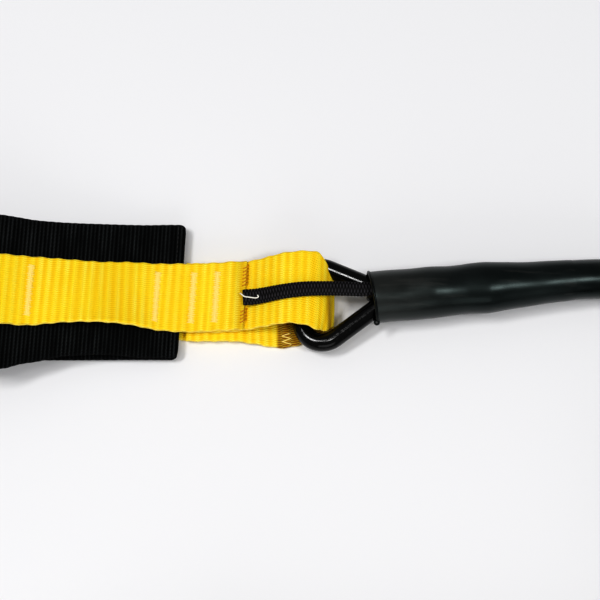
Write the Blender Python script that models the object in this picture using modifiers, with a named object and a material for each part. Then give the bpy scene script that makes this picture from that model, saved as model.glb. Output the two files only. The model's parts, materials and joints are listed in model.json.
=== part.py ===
"""Tow handle: a webbing hand loop on a delta ring, with a sleeved rubber tow tube and a carabiner.

Frame, in metres: +X is the tow direction, +Z is up, and Z = 0 is the surface that it lies on.
The origin is under the middle of the ring's bar line, on the centre line of the strap's neck.
"""

import math

import bmesh
import bpy
from mathutils import Matrix, Vector

MM = 0.001
GAP = 0.3 * MM                      # between pieces that touch

# Webbing
STRAP_WIDTH = 25.5 * MM
STRAP_THICK = 1.8 * MM
GRIP_WIDTH = 50.5 * MM
GRIP_THICK = 1.6 * MM
STRAP_END_X = -20.5 * MM            # both ends of the strap, towards the ring
TAB_END_X = -42.2 * MM              # both ends of the ring tab, inside the neck
GRIP_END_X = -43.5 * MM             # the grip's two hems
LAYER = 3.0 * MM                    # height of the tab's lower layer in the neck
NECK_TOP = 7.2 * MM                 # height of the strap's upper layer in the neck
LOOP_END_X = -225.0 * MM
LOOP_TOP = 38.0 * MM

# Delta ring, along the tow axis
TOW_YAW = math.radians(5.2)
BAR_CENTRE = Vector((0.0, -4.0 * MM, 5.7 * MM))
RING_SIDE = 39.5 * MM
RING_ROD = 3.3 * MM
RING_CORNER = 7.8 * MM
RING_APEX_CORNER = 4.0 * MM
SLEEVE_HEIGHT = 10.9 * MM           # height of the sleeve's axis

# Sleeve, plug, ferrules and tube
MOUTH = 26.0 * MM                   # distance of the sleeve's mouth from the bar, along the tow axis
SLEEVE_WALL = 0.45 * MM
SLEEVE_END = 99.0 * MM
TUBE_RADIUS = 7.2 * MM
BORE_RADIUS = 4.3 * MM
BORE_DEPTH = 28.0 * MM
TUBE_START = 41.0 * MM
FERRULE_WIDTH = 6.0 * MM
FERRULE_WALL = 0.75 * MM
EYE_WIRE = 1.0 * MM
EYE_CLEARANCE = 0.9 * MM           # the ring's legs spread just behind its apex

# Safety cord
CORD_WIDTH = 5.8 * MM
CORD_THICK = 1.6 * MM

# Coil and rear end
COIL_CENTRE = Vector((203.0 * MM, -66.0 * MM, 0.0))
COIL_RADIUS = 74.0 * MM
COIL_FLOOR = 1.5 * MM               # the ties pass under the coil
TIE_THICK = 1.2 * MM
TIE_WIDTH = 8.0 * MM
REAR_TUBE_END = -36.0 * MM
REAR_EYE = Vector((-47.0 * MM, -140.0 * MM, 9.0 * MM))
CLIP_LENGTH = 56.0 * MM
CLIP_WIDTH = 24.0 * MM
CLIP_ROD = 2.6 * MM
CLIP_REST = 2.7 * MM                # height of the carabiner's far end
GATE_RADIUS = 2.1 * MM
SPRING_RADIUS = 0.75 * MM
SPRING_WIRE = 0.18 * MM
SPRING_TURNS = 4
PIN_RADIUS = 0.8 * MM


# ---------------------------------------------------------------- scene and materials

def clear_scene():
    for obj in list(bpy.data.objects):
        bpy.data.objects.remove(obj)


def new_collection(name):
    found = bpy.data.collections.new(name)
    bpy.context.scene.collection.children.link(found)
    return found


def material(name, colour, roughness, metallic=0.0):
    made = bpy.data.materials.new(name)
    made.use_nodes = True
    shader = made.node_tree.nodes["Principled BSDF"]
    shader.inputs["Base Color"].default_value = (*colour, 1.0)
    shader.inputs["Roughness"].default_value = roughness
    shader.inputs["Metallic"].default_value = metallic
    made.diffuse_color = (*colour, 1.0)
    return made


clear_scene()
PARTS = new_collection("tow_rope_handle")
CUTTERS = new_collection("cutters")
YELLOW = (0.93, 0.60, 0.03)
BLACK = (0.012, 0.014, 0.018)
RUBBER = (0.018, 0.024, 0.026)
STEEL = (0.55, 0.56, 0.58)


def add(name, data, colour, roughness, metallic=0.0, place=None):
    """Put a mesh or curve into the model as a named sub-part with its own material."""
    obj = bpy.data.objects.new(name, data)
    PARTS.objects.link(obj)
    data.materials.clear()
    data.materials.append(material(name, colour, roughness, metallic))
    if place is not None:
        obj.matrix_world = place
    return obj


# ---------------------------------------------------------------- shapes

def smooth(points, steps):
    """A Catmull-Rom curve through the points, which may have any number of coordinates."""
    size = len(points[0])
    first = [2 * a - b for a, b in zip(points[0], points[1])]
    last = [2 * a - b for a, b in zip(points[-1], points[-2])]
    ring = [first, *points, last]
    out = []
    for i in range(len(points) - 1):
        p0, p1, p2, p3 = ring[i:i + 4]
        for k in range(steps):
            t = k / steps
            out.append([0.5 * (2 * p1[c] + (p2[c] - p0[c]) * t
                               + (2 * p0[c] - 5 * p1[c] + 4 * p2[c] - p3[c]) * t ** 2
                               + (3 * p1[c] - p0[c] - 3 * p2[c] + p3[c]) * t ** 3)
                        for c in range(size)])
    out.append(list(points[-1]))
    return out


def ribbon(name, path, thick, colour, roughness):
    """Webbing: a flat grid laid along (x, y, z, width) stations, thickened both ways."""
    last = len(path) - 1
    bm = bmesh.new()
    bmesh.ops.create_grid(bm, x_segments=last, y_segments=1, size=1.0)
    for vert in bm.verts:
        x, y, z, width = path[round((vert.co.x + 1) / 2 * last)]
        vert.co = (x, y + math.copysign(width / 2, vert.co.y), z)
    mesh = bpy.data.meshes.new(name)
    bm.to_mesh(mesh)
    bm.free()
    mesh.shade_smooth()
    mesh.set_sharp_from_angle(angle=math.radians(40))
    obj = add(name, mesh, colour, roughness)
    solid = obj.modifiers.new("thickness", "SOLIDIFY")
    solid.thickness = thick
    solid.offset = 0.0
    return obj


def rod(name, points, radius, colour, roughness, metallic=0.0, cyclic=False, sides=2, place=None):
    """A round rod or tube solid along straight spans between many close points."""
    curve = bpy.data.curves.new(name, "CURVE")
    curve.dimensions = "3D"
    curve.bevel_depth = radius
    curve.bevel_resolution = sides
    curve.use_fill_caps = not cyclic
    spline = curve.splines.new("POLY")
    spline.points.add(len(points) - 1)
    for target, point in zip(spline.points, points):
        target.co = (*point[:3], 1.0)
    spline.use_cyclic_u = cyclic
    return add(name, curve, colour, roughness, metallic, place)


def as_mesh(obj):
    """Turn a curve object into a mesh object, its end caps welded, so that it can be cut."""
    found = obj.evaluated_get(bpy.context.evaluated_depsgraph_get())
    mesh = bpy.data.meshes.new_from_object(found)
    bm = bmesh.new()
    bm.from_mesh(mesh)
    bmesh.ops.remove_doubles(bm, verts=bm.verts, dist=0.01 * MM)
    bm.to_mesh(mesh)
    bm.free()
    name, place, owner = obj.name, obj.matrix_world.copy(), obj.users_collection[0]
    bpy.data.objects.remove(obj)
    made = bpy.data.objects.new(name, mesh)
    owner.objects.link(made)
    made.matrix_world = place
    return made


def turned(name, profile, place, colour, roughness, metallic=0.0, steps=32, closed=False):
    """A turned solid: (distance, radius) points down the outer side, spun about local Z."""
    mesh = bpy.data.meshes.new(name)
    verts = [(radius, 0.0, distance) for distance, radius in profile]
    edges = [(i, i + 1) for i in range(len(verts) - 1)]
    if closed:
        edges.append((len(verts) - 1, 0))
    mesh.from_pydata(verts, edges, [])
    obj = add(name, mesh, colour, roughness, metallic, place)
    spin = obj.modifiers.new("spin", "SCREW")
    spin.steps = steps
    spin.render_steps = steps
    spin.use_merge_vertices = True
    spin.merge_threshold = 0.00001
    spin.use_smooth_shade = True
    return obj


def combine(obj, other, operation):
    """Join another object to this one, or cut it away, and keep it as a hidden guide."""
    for owner in list(other.users_collection):
        owner.objects.unlink(other)
    CUTTERS.objects.link(other)
    other.hide_render = True
    other.display_type = "WIRE"
    change = obj.modifiers.new(operation.lower(), "BOOLEAN")
    change.operation = operation
    change.object = other


def torus(name, major, minor, place, colour, roughness, metallic=0.0, steps=28, sides=10):
    """A round-section ring about local Z."""
    bpy.ops.mesh.primitive_torus_add(major_radius=major, minor_radius=minor,
                                     major_segments=steps, minor_segments=sides)
    made = bpy.context.object
    mesh = made.data
    bpy.data.objects.remove(made)
    mesh.shade_smooth()
    return add(name, mesh, colour, roughness, metallic, place)


def block(name, size, place, colour, roughness, metallic=0.0):
    """A box with its centre at local zero."""
    bm = bmesh.new()
    bmesh.ops.create_cube(bm, size=1.0)
    bmesh.ops.scale(bm, vec=size, verts=bm.verts)
    mesh = bpy.data.meshes.new(name)
    bm.to_mesh(mesh)
    bm.free()
    return add(name, mesh, colour, roughness, metallic, place)


def arc(centre, radius, start, stop, count):
    """Points on an arc in the XY plane, angles in degrees."""
    out = []
    for i in range(count + 1):
        angle = math.radians(start + (stop - start) * i / count)
        out.append((centre[0] + radius * math.cos(angle), centre[1] + radius * math.sin(angle), 0.0))
    return out


# ---------------------------------------------------------------- axes

ALONG = Vector((math.cos(TOW_YAW), math.sin(TOW_YAW), 0.0))
ACROSS = Vector((-math.sin(TOW_YAW), math.cos(TOW_YAW), 0.0))
UP = Vector((0.0, 0.0, 1.0))


def frame_at(point, x_axis, y_axis, z_axis):
    """A placement from an origin and three unit axes."""
    return Matrix.Translation(point) @ Matrix((x_axis, y_axis, z_axis)).transposed().to_4x4()


def tow_point(distance):
    """The point on the sleeve's axis at a distance from the ring's bar."""
    return Vector((BAR_CENTRE.x, BAR_CENTRE.y, SLEEVE_HEIGHT)) + ALONG * distance


FRONT = frame_at(tow_point(0.0), ACROSS, UP, ALONG)
REAR = frame_at(REAR_EYE, Vector((0, 1, 0)), UP, Vector((1, 0, 0)))


# ---------------------------------------------------------------- hand loop

def loop_path():
    """Centre line of the main strap, from its upper end round the loop to its lower end."""
    floor = STRAP_THICK / 2
    top = LOOP_TOP - STRAP_THICK / 2
    end = LOOP_END_X + STRAP_THICK / 2
    points = [
        (STRAP_END_X, NECK_TOP), (-36 * MM, NECK_TOP), (-52 * MM, NECK_TOP), (-74 * MM, 10.4 * MM),
        (-97 * MM, 16.5 * MM), (-135 * MM, 28 * MM), (-168 * MM, 35.5 * MM), (-194 * MM, top),
        (-214 * MM, 31.5 * MM), (end, 19 * MM), (-215 * MM, 6.5 * MM), (-200 * MM, 1.6 * MM),
        (-186 * MM, floor), (-150 * MM, floor), (-100 * MM, floor), (-60 * MM, floor), (STRAP_END_X, floor)]
    return [(x, max(z, floor)) for x, z in smooth(points, 4)]


def inset(path, amount):
    """The path moved to the inside of the loop."""
    out = []
    for i, (x, z) in enumerate(path):
        before = path[max(i - 1, 0)]
        after = path[min(i + 1, len(path) - 1)]
        dx, dz = after[0] - before[0], after[1] - before[1]
        size = math.hypot(dx, dz)
        out.append((x - dz / size * amount, z + dx / size * amount))
    return out


def slope_at(x_wanted):
    """Height and slope angle of the strap's upper layer at an x."""
    path = loop_path()
    for (x0, z0), (x1, z1) in zip(path, path[1:]):
        if x1 <= x_wanted <= x0:
            return z0 + (z1 - z0) * (x_wanted - x0) / (x1 - x0), math.atan2(z0 - z1, x0 - x1)
    return NECK_TOP, 0.0


def make_main_strap():
    path = [(x, 0.0, z, STRAP_WIDTH) for x, z in loop_path()]
    ribbon("main_strap", path, STRAP_THICK, YELLOW, 0.6)


def make_grip_webbing():
    inside = inset(loop_path(), STRAP_THICK / 2 + GAP + GRIP_THICK / 2)
    kept = [(x, 0.0, z, GRIP_WIDTH) for x, z in inside if x < GRIP_END_X - 0.5 * MM]
    upper = (GRIP_END_X, 0.0, kept[0][2], GRIP_WIDTH)
    lower = (GRIP_END_X, 0.0, kept[-1][2], GRIP_WIDTH)
    ribbon("grip_webbing", [upper, *kept, lower], GRIP_THICK, BLACK, 0.7)


def make_ring_tab():
    """The tab goes over the bar, is bunched narrower where it turns, and comes back underneath."""
    full = STRAP_WIDTH
    upper = LAYER + STRAP_THICK + GAP
    floor = STRAP_THICK / 2
    stations = [
        (TAB_END_X, 0.0, upper, full), (-30 * MM, 0.0, upper, full), (-20 * MM, 0.3 * MM, upper, full),
        (-13 * MM, 0.9 * MM, 8.3 * MM, full), (-6 * MM, 1.6 * MM, 11.9 * MM, full),
        (1 * MM, 1.4 * MM, 12.9 * MM, 24 * MM), (6.5 * MM, -0.8 * MM, 11.3 * MM, 18 * MM),
        (9.6 * MM, -2.6 * MM, 7.4 * MM, 15.5 * MM), (9.6 * MM, -3.4 * MM, 3.6 * MM, 16 * MM),
        (7.2 * MM, -4.1 * MM, 1.5 * MM, 18 * MM), (3.5 * MM, -4.6 * MM, floor, 20.5 * MM),
        (-6 * MM, -4.9 * MM, floor, full), (-13 * MM, -4.4 * MM, 1.4 * MM, full),
        (-21 * MM, -3.2 * MM, LAYER - 0.2 * MM, full), (-30 * MM, -3.0 * MM, LAYER, full),
        (TAB_END_X, -3.0 * MM, LAYER, full)]
    path = smooth(stations, 3)
    for station in path:
        station[2] = max(station[2], floor)
    ribbon("ring_tab", path, STRAP_THICK, YELLOW, 0.6)


def make_bartacks():
    """Bars of stitching on the strap's upper face; the close ones shut the neck of the loop."""
    places = {"bartack_neck_front": -30.8, "bartack_neck_middle": -39.5, "bartack_neck_rear": -52.5,
              "bartack_grip_front": -97.4, "bartack_grip_middle": -142.0, "bartack_grip_rear": -187.0}
    for name, x in places.items():
        height, slope = slope_at(x * MM)
        turn = Matrix.Rotation(-slope, 4, "Y")
        lift = turn @ Vector((0, 0, STRAP_THICK / 2 + GAP + 0.25 * MM))
        place = Matrix.Translation(Vector((x * MM, 0, height)) + lift) @ turn
        block(name, (2.4 * MM, 17.5 * MM, 0.5 * MM), place, (0.86, 0.72, 0.42), 0.7)
    end = Vector((STRAP_END_X - 1.1 * MM, 0, NECK_TOP + STRAP_THICK / 2 + GAP + 0.2 * MM))
    block("end_stitching", (1.8 * MM, 23 * MM, 0.4 * MM), Matrix.Translation(end), (0.75, 0.33, 0.03), 0.7)


def make_safety_cord():
    """A flat braided cord from the strap's end, over the tab, into the sleeve."""
    upper = LAYER + STRAP_THICK + GAP
    lift = STRAP_THICK / 2 + GAP + CORD_THICK / 2
    stations = [
        (STRAP_END_X + 3 * GAP, -1.0 * MM, upper + lift, CORD_WIDTH),
        (-13.5 * MM, -0.6 * MM, 8.3 * MM + lift + 0.3 * MM, CORD_WIDTH),
        (-6.2 * MM, 0.0, 11.9 * MM + lift + 0.2 * MM, CORD_WIDTH),
        (1 * MM, 0.8 * MM, 12.9 * MM + lift + 0.2 * MM, CORD_WIDTH),
        (8 * MM, 1.2 * MM, 15.0 * MM, CORD_WIDTH),
        (15 * MM, 1.4 * MM, SLEEVE_HEIGHT + 4.6 * MM, CORD_WIDTH),
        (22 * MM, 1.6 * MM, SLEEVE_HEIGHT + 4.9 * MM, CORD_WIDTH),
        (26.5 * MM, 2.1 * MM, SLEEVE_HEIGHT + 4.9 * MM, CORD_WIDTH - 0.8 * MM),
        (30 * MM, 2.6 * MM, SLEEVE_HEIGHT + 4.9 * MM, CORD_WIDTH - 1.2 * MM),
        (34 * MM, 3.1 * MM, SLEEVE_HEIGHT + 4.9 * MM, CORD_WIDTH - 1.2 * MM)]
    ribbon("safety_cord", smooth(stations, 3), CORD_THICK, BLACK, 0.6)


# ---------------------------------------------------------------- ring and front end

def ring_outline():
    """Centre line of the delta ring in its own plane: x along the tow axis, y across."""
    half = RING_SIDE / 2
    height = RING_SIDE * math.sqrt(3) / 2
    reach = RING_CORNER * math.sqrt(3)
    lower = arc((RING_CORNER, -half + reach), RING_CORNER, 180, 300, 7)
    apex = arc((height - 2 * RING_APEX_CORNER, 0.0), RING_APEX_CORNER, -60, 60, 7)
    upper = arc((RING_CORNER, half - reach), RING_CORNER, 60, 180, 7)
    return lower + apex + upper


def make_ring():
    apex = RING_SIDE * math.sqrt(3) / 2 - RING_APEX_CORNER
    rise = SLEEVE_HEIGHT - BAR_CENTRE.z
    forward = (ALONG * apex + UP * rise).normalized()
    place = frame_at(BAR_CENTRE, forward, ACROSS, forward.cross(ACROSS))
    rod("ring", ring_outline(), RING_ROD, BLACK, 0.2, 0.3, cyclic=True, sides=3, place=place)


def make_sleeve(name, place, profile):
    """A thin rubber sleeve: the outer surface is spun, and the wall is added inwards."""
    obj = turned(name, profile, place, RUBBER, 0.5, steps=32)
    wall = obj.modifiers.new("wall", "SOLIDIFY")
    wall.thickness = SLEEVE_WALL
    wall.offset = -1.0
    return obj


def sleeve_profile(start, stop):
    """The sleeve's outer radius swells over the ferrules and shrinks on to the tube."""
    shape = [(0.0, 9.4), (0.33, 9.4), (0.41, 9.15), (0.47, 9.1), (0.55, 9.2), (0.59, 9.2),
             (0.645, 8.8), (0.70, 8.4), (0.78, 8.15), (0.88, 8.02), (1.0, 7.95)]
    length = stop - start
    return [(start + length * t, radius * MM) for t, radius in reversed(shape)]


def make_anchor_plug(name, place, eye, tube_face):
    """A barbed plug for the tube's bore, with an eye for the ring or carabiner at its head."""
    shank = BORE_RADIUS - 1.3 * MM
    barb = BORE_RADIUS - GAP
    length = BORE_DEPTH - 4 * MM
    profile = [(tube_face + length, 0.0), (tube_face + length, shank - 0.6 * MM)]
    barbs = 4
    for i in range(barbs):
        base = tube_face + length - (i + 1) * length / (barbs + 0.6)
        profile += [(base, barb), (base - 0.3 * MM, shank)]
    flange = tube_face - GAP
    major = RING_ROD + EYE_CLEARANCE + EYE_WIRE
    profile += [(flange, shank), (flange, 6.4 * MM), (flange - 2.0 * MM, 6.4 * MM),
                (flange - 2.6 * MM, 2.4 * MM), (eye + major, 2.0 * MM), (eye + major, 0.0)]
    plug = turned(name, profile, place, STEEL, 0.4, 0.8, steps=20)
    turn = place @ Matrix.Translation((0, 0, eye)) @ Matrix.Rotation(math.pi / 2, 4, "Y")
    combine(plug, torus(name + "_eye", major, EYE_WIRE, turn, STEEL, 0.4, 0.8, steps=24, sides=10), "UNION")


def make_ferrule(name, place, centre):
    """A crimped band round the tube, over the plug's barbs."""
    inner = TUBE_RADIUS + GAP
    outer = inner + FERRULE_WALL
    half = FERRULE_WIDTH / 2
    profile = [(centre + half, inner), (centre + half, outer - 0.3 * MM), (centre + half - 0.4 * MM, outer),
               (centre, outer - 0.15 * MM), (centre - half + 0.4 * MM, outer),
               (centre - half, outer - 0.3 * MM), (centre - half, inner)]
    turned(name, profile, place, STEEL, 0.35, 0.9, steps=28, closed=True)


def make_front_end():
    make_ring()
    make_sleeve("sleeve_front", FRONT, sleeve_profile(MOUTH, SLEEVE_END))
    torus("mouth_band_front", 9.4 * MM + GAP + 0.55 * MM, 0.55 * MM,
          FRONT @ Matrix.Translation((0, 0, MOUTH + 1.2 * MM)), BLACK, 0.4, steps=36, sides=8)
    eye = RING_SIDE * math.sqrt(3) / 2 - RING_APEX_CORNER
    make_anchor_plug("anchor_plug_front", FRONT, eye, TUBE_START)
    make_ferrule("ferrule_front_inner", FRONT, TUBE_START + 7 * MM)
    make_ferrule("ferrule_front_outer", FRONT, TUBE_START + 26.5 * MM)


# ---------------------------------------------------------------- tube, coil and rear end

def bored(obj, place, face, name):
    """Cut a blind bore for a plug's shank into one end of a tube."""
    depth = BORE_DEPTH + 5 * MM
    profile = [(face + BORE_DEPTH, 0.0), (face + BORE_DEPTH, BORE_RADIUS),
               (face + BORE_DEPTH - depth, BORE_RADIUS), (face + BORE_DEPTH - depth, 0.0)]
    combine(obj, turned(name, profile, place, RUBBER, 0.5, steps=20), "DIFFERENCE")


def make_tube_lead():
    """The stretch from the plug to the coil, settling from the sleeve's height to the surface."""
    low = TUBE_RADIUS + 0.1 * MM
    in_sleeve = [tuple(tow_point(TUBE_START + (SLEEVE_END - TUBE_START) * i / 4)) for i in range(5)]
    points = in_sleeve + [(111 * MM, 5.9 * MM, 9.3 * MM), (126 * MM, 6.8 * MM, low),
                          (140 * MM, 7.4 * MM, low), (155.5 * MM, 7.8 * MM, low)]
    obj = rod("tube_lead", smooth(points, 3), TUBE_RADIUS, RUBBER, 0.5, sides=3)
    obj = as_mesh(obj)
    bored(obj, FRONT, TUBE_START, "bore_front")


def make_tube_coil():
    """One solid of the outer shape of the two stacked turns."""
    inner = COIL_RADIUS - TUBE_RADIUS
    outer = COIL_RADIUS + TUBE_RADIUS
    low = COIL_FLOOR
    high = COIL_FLOOR + 4 * TUBE_RADIUS
    corner = 4.5 * MM
    profile = []
    for centre, start in (((outer - corner, high - corner), 90), ((outer - corner, low + corner), 0),
                          ((inner + corner, low + corner), -90), ((inner + corner, high - corner), -180)):
        for i in range(4):
            angle = math.radians(start - 30 * i)
            profile.append((centre[1] + corner * math.sin(angle), centre[0] + corner * math.cos(angle)))
    turned("tube_coil", profile, Matrix.Translation(COIL_CENTRE), RUBBER, 0.5, steps=56, closed=True)


def rounded_rectangle(half_x, half_y, radius):
    points = []
    for sx, sy, start in ((1, 1, 0), (-1, 1, 90), (-1, -1, 180), (1, -1, 270)):
        centre = (sx * (half_x - radius), sy * (half_y - radius))
        points += arc(centre, radius, start, start + 90, 3)
    return points


def make_coil_tie(name, angle):
    """A strap tied round both turns of the coil."""
    curve = bpy.data.curves.new(name, "CURVE")
    curve.dimensions = "2D"
    curve.fill_mode = "BOTH"
    curve.extrude = TIE_WIDTH / 2
    half_x = TUBE_RADIUS + GAP
    half_y = 2 * TUBE_RADIUS + GAP
    for grow in (0.0, TIE_THICK):
        spline = curve.splines.new("POLY")
        points = rounded_rectangle(half_x + grow, half_y + grow, 4.5 * MM + grow)
        spline.points.add(len(points) - 1)
        for target, point in zip(spline.points, points):
            target.co = (*point, 1.0)
        spline.use_cyclic_u = True
    outward = Vector((math.cos(angle), math.sin(angle), 0.0))
    centre = COIL_CENTRE + outward * COIL_RADIUS + UP * (COIL_FLOOR + 2 * TUBE_RADIUS)
    place = frame_at(centre, outward, UP, outward.cross(UP))
    add(name, curve, BLACK, 0.6, place=place)


def make_tube_tail():
    """The stretch that leaves the upper turn and comes down to the surface."""
    y = REAR_EYE.y
    points = [(155.5 * MM, y, 21.5 * MM), (140 * MM, y, 18.2 * MM), (124 * MM, y, 14.0 * MM),
              (108 * MM, y, 10.6 * MM), (92 * MM, y, REAR_EYE.z), (30 * MM, y, REAR_EYE.z),
              (REAR_TUBE_END, y, REAR_EYE.z)]
    obj = rod("tube_tail", smooth(points, 2), TUBE_RADIUS, RUBBER, 0.5, sides=3)
    obj = as_mesh(obj)
    bored(obj, REAR, REAR_TUBE_END - REAR_EYE.x, "bore_rear")


def make_rear_end():
    face = REAR_TUBE_END - REAR_EYE.x
    make_anchor_plug("anchor_plug_rear", REAR, 0.0, face)
    make_ferrule("ferrule_rear_inner", REAR, face + 6 * MM)
    make_ferrule("ferrule_rear_outer", REAR, face + 19 * MM)
    profile = [(44 * MM, 7.95 * MM), (40 * MM, 8.05 * MM), (34.5 * MM, 8.9 * MM), (30 * MM, 9.0 * MM),
               (22 * MM, 8.9 * MM), (16 * MM, 9.0 * MM), (6.5 * MM, 8.9 * MM)]
    make_sleeve("sleeve_rear", REAR, profile)


# ---------------------------------------------------------------- carabiner

def clip_frame():
    """The carabiner's own frame: x from the eye to the far end, y across, z through its plane."""
    forward = Vector((-CLIP_LENGTH, 0.0, CLIP_REST - REAR_EYE.z)).normalized()
    across = Vector((0.0, -1.0, 0.0))
    return frame_at(REAR_EYE, forward, across, forward.cross(across))


GATE_PIVOT = (17.0 * MM, CLIP_WIDTH / 2)
GATE_NOSE = 43.5 * MM


def make_carabiner():
    """An open round-section loop; the gap in its upper side is closed by the gate."""
    place = clip_frame()
    half = CLIP_WIDTH / 2
    start = [(GATE_PIVOT[0] - 3.2 * MM, half, 0.0)]
    near = arc((half, 0.0), half, 90, 270, 10)
    far = arc((CLIP_LENGTH - half, 0.0), half, -90, 90, 10)
    body = as_mesh(rod("carabiner_body", start + near + far, CLIP_ROD, STEEL, 0.3, 0.9, place=place))
    body.data.materials.append(material("carabiner_body", STEEL, 0.3, 0.9))
    for side in (1, -1):
        lug = place @ Matrix.Translation((GATE_PIVOT[0] - 1.2 * MM, half, side * 2.0 * MM))
        combine(body, block(f"lug_{side}", (6.6 * MM, 3.6 * MM, 0.9 * MM), lug, STEEL, 0.3), "UNION")
    hole = [(4 * MM, 0.0), (4 * MM, PIN_RADIUS + GAP), (-4 * MM, PIN_RADIUS + GAP), (-4 * MM, 0.0)]
    pivot = place @ Matrix.Translation((*GATE_PIVOT, 0.0))
    combine(body, turned("pin_hole", hole, pivot, STEEL, 0.3, steps=16), "DIFFERENCE")
    bore = [(15 * MM, 0.0), (15 * MM, 1.3 * MM), (9 * MM, 1.3 * MM), (9 * MM, 0.0)]
    lie = place @ Matrix.Translation((0, half, 0)) @ Matrix.Rotation(math.pi / 2, 4, "Y")
    combine(body, turned("spring_bore", bore, lie, STEEL, 0.3, steps=16), "DIFFERENCE")


def make_gate_spring():
    """A small compression spring in a bore in the body's end, behind the gate's tongue."""
    place = clip_frame()
    start, stop = 9.4 * MM, 14.3 * MM
    count = SPRING_TURNS * 10
    points = []
    for i in range(count + 1):
        angle = 2 * math.pi * SPRING_TURNS * i / count
        points.append((start + (stop - start) * i / count,
                       CLIP_WIDTH / 2 + SPRING_RADIUS * math.cos(angle), SPRING_RADIUS * math.sin(angle)))
    rod("gate_spring", points, SPRING_WIRE, STEEL, 0.3, 0.9, place=place)


def make_gate():
    """A round bar with a flat tongue at its pivot, between the body's two lugs."""
    pivot = clip_frame() @ Matrix.Translation((*GATE_PIVOT, 0.0))
    length = GATE_NOSE - GATE_PIVOT[0]
    bar = [(length, 0.0), (length, GATE_RADIUS - 0.4 * MM), (length - 0.4 * MM, GATE_RADIUS),
           (2.9 * MM, GATE_RADIUS), (2.9 * MM, 0.0)]
    lie = pivot @ Matrix.Rotation(math.pi / 2, 4, "Y")
    gate = turned("gate", bar, lie, STEEL, 0.3, 0.9, steps=16)
    tongue = pivot @ Matrix.Translation((1.4 * MM, 0, 0))
    combine(gate, block("tongue", (6.2 * MM, 3.4 * MM, 2.4 * MM), tongue, STEEL, 0.3), "UNION")
    hole = [(4 * MM, 0.0), (4 * MM, PIN_RADIUS + GAP), (-4 * MM, PIN_RADIUS + GAP), (-4 * MM, 0.0)]
    combine(gate, turned("gate_hole", hole, pivot, STEEL, 0.3, steps=16), "DIFFERENCE")
    pin = [(2.9 * MM, 0.0), (2.9 * MM, PIN_RADIUS), (-2.9 * MM, PIN_RADIUS), (-2.9 * MM, 0.0)]
    turned("gate_pin", pin, pivot, STEEL, 0.3, 0.9, steps=16)


# ---------------------------------------------------------------- build

make_main_strap()
make_grip_webbing()
make_ring_tab()
make_bartacks()
make_safety_cord()
make_front_end()
make_tube_lead()
make_tube_coil()
make_coil_tie("coil_tie_side", math.radians(35))
make_coil_tie("coil_tie_near", math.radians(-55))
make_tube_tail()
make_rear_end()
make_carabiner()
make_gate_spring()
make_gate()
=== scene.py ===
"""Looks for the tow rope handle: webbing, thread, coated rod, rubber and light round the CAD frame."""

import json
import math

import bmesh
import bpy
import numpy as np
from mathutils import Matrix, Vector


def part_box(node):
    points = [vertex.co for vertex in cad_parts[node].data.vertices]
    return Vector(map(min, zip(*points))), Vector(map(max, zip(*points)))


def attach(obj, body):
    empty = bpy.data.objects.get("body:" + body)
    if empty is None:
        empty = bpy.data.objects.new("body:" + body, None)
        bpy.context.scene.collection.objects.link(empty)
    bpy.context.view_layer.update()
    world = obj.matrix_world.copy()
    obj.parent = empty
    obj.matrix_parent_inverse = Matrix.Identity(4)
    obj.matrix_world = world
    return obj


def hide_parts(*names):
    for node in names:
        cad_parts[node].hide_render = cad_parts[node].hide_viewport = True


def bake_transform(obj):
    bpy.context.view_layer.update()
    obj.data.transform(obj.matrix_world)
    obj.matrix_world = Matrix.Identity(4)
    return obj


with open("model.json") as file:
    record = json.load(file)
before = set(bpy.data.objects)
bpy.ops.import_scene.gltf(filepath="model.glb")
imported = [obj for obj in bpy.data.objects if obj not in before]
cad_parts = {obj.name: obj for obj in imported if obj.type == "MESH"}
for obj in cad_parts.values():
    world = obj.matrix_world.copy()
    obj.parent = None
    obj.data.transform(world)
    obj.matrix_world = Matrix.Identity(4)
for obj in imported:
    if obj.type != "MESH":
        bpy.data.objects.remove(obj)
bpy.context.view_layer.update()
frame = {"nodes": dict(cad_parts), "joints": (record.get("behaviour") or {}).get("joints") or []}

MM = 0.001
HANDLE, TOW, CLIP, GATE = "handle", "tow_cord", "carabiner", "gate"
JOINT = {joint["name"]: joint for joint in frame["joints"]}

# The ring's bar and the tow axis, as the handle's hinge gives them
BAR = Vector(JOINT["handle_swing"]["pos_m"])
ACROSS = Vector(JOINT["handle_swing"]["axis"])
UP = Vector((0.0, 0.0, 1.0))
ALONG = ACROSS.cross(UP)
SLEEVE_LOW, SLEEVE_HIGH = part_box("sleeve_front")
SLEEVE_Z = (SLEEVE_LOW.z + SLEEVE_HIGH.z) / 2

# Lengths below are in millimetres unless a comment says otherwise
STRAP_THICK = 1.8
STRAP_RIB = 3.12
STRAP_RIB_HEIGHT = 0.16
GRIP_THICK = 1.6
GRIP_RIB = 1.45
GRIP_RIB_HEIGHT = 0.13
GRIP_HEM = 3.6
TUBE_RADIUS = 7.2
MOUTH = 26.0
SLEEVE_END = 99.0

IMAGE_SIDE = 600
PIXELS_PER_MM = 2.75
ELEVATION = math.radians(75)
CAMERA_DISTANCE = 0.60               # metres
SENSOR = 36.0
LIGHT_DISTANCE = 1.25                # metres
SKY = 0.225
KEY_POWER = 4.6                      # watts, like those below
TOP_POWER = 1.2
RIGHT_POWER = 3.4
FRONT_POWER = 1.7


def tow_point(distance, sideways=0.0, lift=0.0):
    """A point on the sleeve's axis, in metres; distances from the ring's bar are in millimetres."""
    base = Vector((BAR.x, BAR.y, SLEEVE_Z))
    return base + (ALONG * distance + ACROSS * sideways + UP * lift) * MM


# ---------------------------------------------------------------- shader helper

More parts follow.
